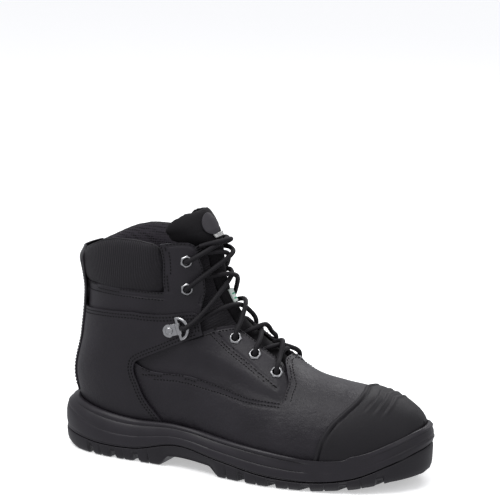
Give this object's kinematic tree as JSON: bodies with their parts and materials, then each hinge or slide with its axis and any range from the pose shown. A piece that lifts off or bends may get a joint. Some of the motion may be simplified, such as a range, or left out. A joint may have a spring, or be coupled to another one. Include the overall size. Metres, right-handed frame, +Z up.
{
  "type": "work boot",
  "caption": "Black lace-up ankle work boot for the right foot with a steel toe, padded collar, side panels sewn over the vamp, metal eyelets and a lugged cup sole.",
  "frame": {"origin": "on the ground plane below the middle of the sole's bounding box", "axes": "+X to the toe, +Y to the inner (medial) side, +Z up"},
  "size_m": [0.312, 0.11, 0.205],
  "materials": {
    "sole_rubber": "satin moulded",
    "midsole_foam": "satin moulded",
    "steel": "plain",
    "board": "matt",
    "footbed_fabric": "matt",
    "edge_strip": "matt",
    "counter": "matt",
    "lining_mesh": "mesh",
    "leather": "fine grain, satin",
    "leather_guard": "coated, satin",
    "collar_textile": "diagonal weave",
    "foam": "open foam",
    "tongue_leather": "smooth, matt",
    "gusset_textile": "ribbed",
    "patch": "moulded badge",
    "tag": "woven",
    "label": "printed strip",
    "bright_metal": "polished",
    "lace_cord": "braided"
  },
  "bodies": {
    "boot": {"outsole": "sole_rubber", "midsole": "midsole_foam", "puncture_plate": "steel", "insole_board": "board", "steel_toe_cap": "steel", "toe_cap_edge_strip": "edge_strip", "heel_counter": "counter", "vamp_lining": "lining_mesh", "quarter_lining": "lining_mesh", "vamp": "leather", "toe_guard": "leather_guard", "facing_lateral": "leather", "facing_medial": "leather", "ankle_band_lateral": "leather", "ankle_band_medial": "leather", "rear_quarter_lateral": "leather", "rear_quarter_medial": "leather", "back_strip": "leather", "collar_lateral": "collar_textile", "collar_medial": "collar_textile", "collar_foam_lateral": "foam", "collar_foam_medial": "foam", "gusset_lateral": "gusset_textile", "gusset_medial": "gusset_textile", "eyelets_lateral": "bright_metal", "eyelets_medial": "bright_metal", "ring_clip_lateral": "bright_metal", "ring_clip_medial": "bright_metal", "ring_rivet_lateral": "bright_metal", "ring_rivet_medial": "bright_metal", "lace": "lace_cord"},
    "tongue": {"tongue": "tongue_leather", "tongue_foam": "foam", "tongue_patch": "patch", "tongue_tag": "tag", "tongue_label": "label"},
    "d_ring_lateral": {"ring_lateral": "bright_metal"},
    "d_ring_medial": {"ring_medial": "bright_metal"},
    "footbed": {"footbed": "footbed_fabric"}
  },
  "joints": [
    {"name": "d_ring_lateral_swivel", "type": "hinge", "parent": "boot", "child": "d_ring_lateral", "pos_m": [-0.04198, -0.03075, 0.11224], "axis": [-0.2973, 0.0263, 0.9544], "range_deg": [-4, 4]},
    {"name": "d_ring_medial_swivel", "type": "hinge", "parent": "boot", "child": "d_ring_medial", "pos_m": [-0.04208, 0.03746, 0.11237], "axis": [0.3026, 0.0574, -0.9514], "range_deg": [-4, 4]},
    {"name": "tongue_fold", "type": "hinge", "parent": "boot", "child": "tongue", "pos_m": [0.047, 0.001, 0.079], "axis": [0, 1, 0], "range_deg": [-6, 0]},
    {"name": "footbed_lift", "type": "hinge", "parent": "boot", "child": "footbed", "pos_m": [0.14, 0.006, 0.034], "axis": [0, 1, 0], "range_deg": [0, 3]}
  ]
}
